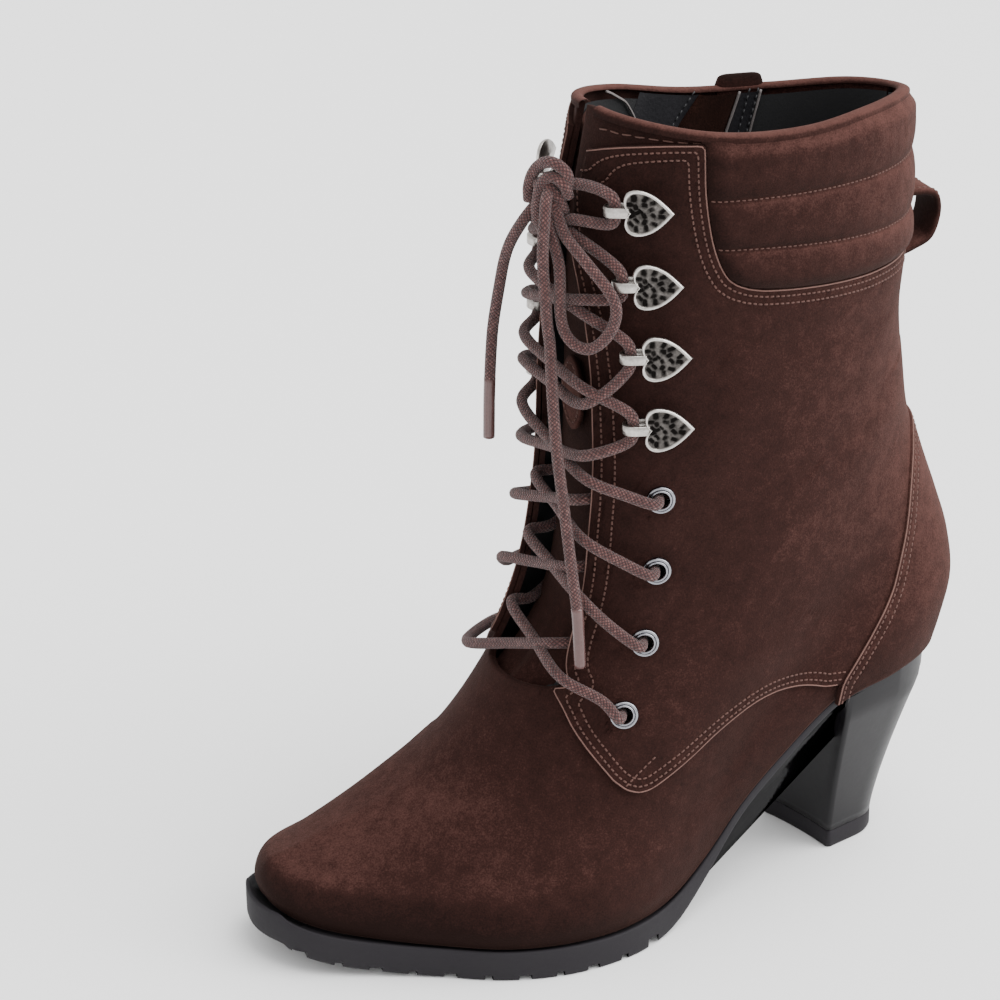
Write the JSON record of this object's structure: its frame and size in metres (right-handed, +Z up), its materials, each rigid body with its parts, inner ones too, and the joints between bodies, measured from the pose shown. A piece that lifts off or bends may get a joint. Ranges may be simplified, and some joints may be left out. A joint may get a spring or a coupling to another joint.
{
  "type": "ankle boot",
  "caption": "Left ankle boot in brown suede with a block heel, laced through eyelets and heart hooks, quilted cuff, pull loop and inner zip.",
  "frame": {"origin": "middle of the heel tip, on the floor", "axes": "+X to the toe, +Y to the outer side of the left foot, +Z up"},
  "size_m": [0.2278, 0.0837, 0.2561],
  "materials": {
    "suede": "suede nap",
    "lining": "woven, matte",
    "rubber": "matte",
    "heel_cover": "satin lacquer",
    "lace": "waxed round braid",
    "antique_silver": "hammered, darkened",
    "gunmetal": "polished gunmetal",
    "zip_tape": "woven tape with metal teeth"
  },
  "bodies": {
    "boot": {"upper": "suede", "quarter_lateral": "suede", "quarter_medial": "suede", "counter": "suede", "cuff": "suede", "pull_loop": "suede", "tongue": "suede", "tongue_keeper": "suede", "insole": "lining", "outsole": "rubber", "heel": "heel_cover", "top_lift": "rubber", "eyelet_lateral_1": "gunmetal", "eyelet_lateral_2": "gunmetal", "eyelet_lateral_3": "gunmetal", "eyelet_lateral_4": "gunmetal", "hook_lateral_1": "antique_silver", "hook_lateral_2": "antique_silver", "hook_lateral_3": "antique_silver", "hook_lateral_4": "antique_silver", "eyelet_medial_1": "gunmetal", "eyelet_medial_2": "gunmetal", "eyelet_medial_3": "gunmetal", "eyelet_medial_4": "gunmetal", "hook_medial_1": "antique_silver", "hook_medial_2": "antique_silver", "hook_medial_3": "antique_silver", "hook_medial_4": "antique_silver", "lace_crossing_1": "lace", "lace_crossing_2": "lace", "lace_crossing_3": "lace", "lace_crossing_4": "lace", "lace_crossing_5": "lace", "lace_crossing_6": "lace", "lace_crossing_7": "lace", "lace_knot": "lace", "lace_end_short": "lace", "lace_end_long": "lace", "lace_loop_outer": "lace", "lace_loop_inner": "lace", "zip": "zip_tape", "zip_slider": "gunmetal"},
    "zip_pull": {"zip_pull_tab": "gunmetal"}
  },
  "joints": [
    {"name": "zip_pull_swing", "type": "hinge", "parent": "boot", "child": "zip_pull", "pos_m": [0.02003, -0.03663, 0.228], "axis": [-0.9697, 0.2444, -0.0039], "range_deg": [0, 150]}
  ]
}
